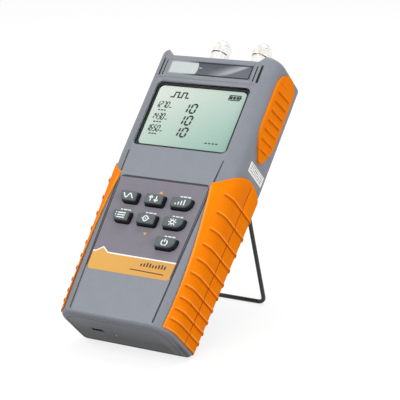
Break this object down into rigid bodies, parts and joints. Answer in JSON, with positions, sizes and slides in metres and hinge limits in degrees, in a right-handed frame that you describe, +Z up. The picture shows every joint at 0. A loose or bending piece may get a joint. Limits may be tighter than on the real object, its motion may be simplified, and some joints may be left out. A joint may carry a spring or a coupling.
{
  "type": "optical power meter",
  "caption": "Hand-held optical power meter with soft side grips, a display, a small keypad and capped optical ports, leaning on its wire bail.",
  "frame": {"origin": "on the surface that the meter stands on, under the middle of its bounding box", "axes": "+X across the case towards its right side, +Y from the lower end towards the bail, +Z up"},
  "size_m": [0.085, 0.1556, 0.1543],
  "materials": {
    "case": "fine moulded texture",
    "grip": "soft matte",
    "window": "clear",
    "mask": "gloss",
    "lcd": "satin",
    "white_plastic": "satin",
    "name_plate": "gloss",
    "overlay": "satin film",
    "key": "satin",
    "dark_plastic": "satin",
    "board": "solder mask",
    "cell": "satin sleeve",
    "contact": "plated",
    "nickel": "polished nickel",
    "steel": "satin",
    "lamp": "translucent",
    "label": "satin",
    "wire": "semi-gloss",
    "cap": "polished"
  },
  "bodies": {
    "meter": {"front_shell": "case", "rear_shell": "case", "top_panel": "case", "end_panel": "case", "battery_cover": "case", "left_grip": "grip", "right_grip": "grip", "left_side_pad": "grip", "right_side_pad": "grip", "display_window": "window", "display_mask": "mask", "lcd_glass": "lcd", "backlight": "white_plastic", "name_plate": "name_plate", "keypad_overlay": "overlay", "key_switches": "dark_plastic", "main_board": "board", "battery_1": "cell", "battery_2": "cell", "battery_3": "cell", "battery_contacts": "contact", "left_adapter": "nickel", "right_adapter": "nickel", "left_detector": "steel", "right_detector": "steel", "port_screws": "steel", "case_screws": "steel", "cover_screw": "steel", "charging_socket": "steel", "status_lamp": "lamp", "port_board": "board", "side_label": "label"},
    "bail": {"bail_stand": "wire"},
    "left_cap": {"left_dust_cap": "cap"},
    "right_cap": {"right_dust_cap": "cap"},
    "key_1_left_body": {"key_1_left": "key"},
    "key_1_middle_body": {"key_1_middle": "key"},
    "key_1_right_body": {"key_1_right": "key"},
    "key_2_left_body": {"key_2_left": "key"},
    "key_2_middle_body": {"key_2_middle": "key"},
    "key_2_right_body": {"key_2_right": "key"},
    "key_3_right_body": {"key_3_right": "key"}
  },
  "joints": [
    {"name": "bail_hinge", "type": "hinge", "parent": "meter", "child": "bail", "pos_m": [0, 0.02251, 0.08057], "axis": [1, 0, 0], "range_deg": [-60.7, 0]},
    {"name": "left_cap_pull", "type": "slide", "parent": "meter", "child": "left_cap", "axis": [0, 0.6851, 0.7285], "range_m": [0, 0.012]},
    {"name": "right_cap_pull", "type": "slide", "parent": "meter", "child": "right_cap", "axis": [0, 0.6851, 0.7285], "range_m": [0, 0.012]},
    {"name": "key_1_left_press", "type": "slide", "parent": "meter", "child": "key_1_left_body", "axis": [0, 0.7285, -0.6851], "range_m": [0, 0.001], "stiffness_N_per_m": 600, "springref_m": -0.0008},
    {"name": "key_1_middle_press", "type": "slide", "parent": "meter", "child": "key_1_middle_body", "axis": [0, 0.7285, -0.6851], "range_m": [0, 0.001], "stiffness_N_per_m": 600, "springref_m": -0.0008},
    {"name": "key_1_right_press", "type": "slide", "parent": "meter", "child": "key_1_right_body", "axis": [0, 0.7285, -0.6851], "range_m": [0, 0.001], "stiffness_N_per_m": 600, "springref_m": -0.0008},
    {"name": "key_2_left_press", "type": "slide", "parent": "meter", "child": "key_2_left_body", "axis": [0, 0.7285, -0.6851], "range_m": [0, 0.001], "stiffness_N_per_m": 600, "springref_m": -0.0008},
    {"name": "key_2_middle_press", "type": "slide", "parent": "meter", "child": "key_2_middle_body", "axis": [0, 0.7285, -0.6851], "range_m": [0, 0.001], "stiffness_N_per_m": 600, "springref_m": -0.0008},
    {"name": "key_2_right_press", "type": "slide", "parent": "meter", "child": "key_2_right_body", "axis": [0, 0.7285, -0.6851], "range_m": [0, 0.001], "stiffness_N_per_m": 600, "springref_m": -0.0008},
    {"name": "key_3_right_press", "type": "slide", "parent": "meter", "child": "key_3_right_body", "axis": [0, 0.7285, -0.6851], "range_m": [0, 0.001], "stiffness_N_per_m": 600, "springref_m": -0.0008}
  ]
}
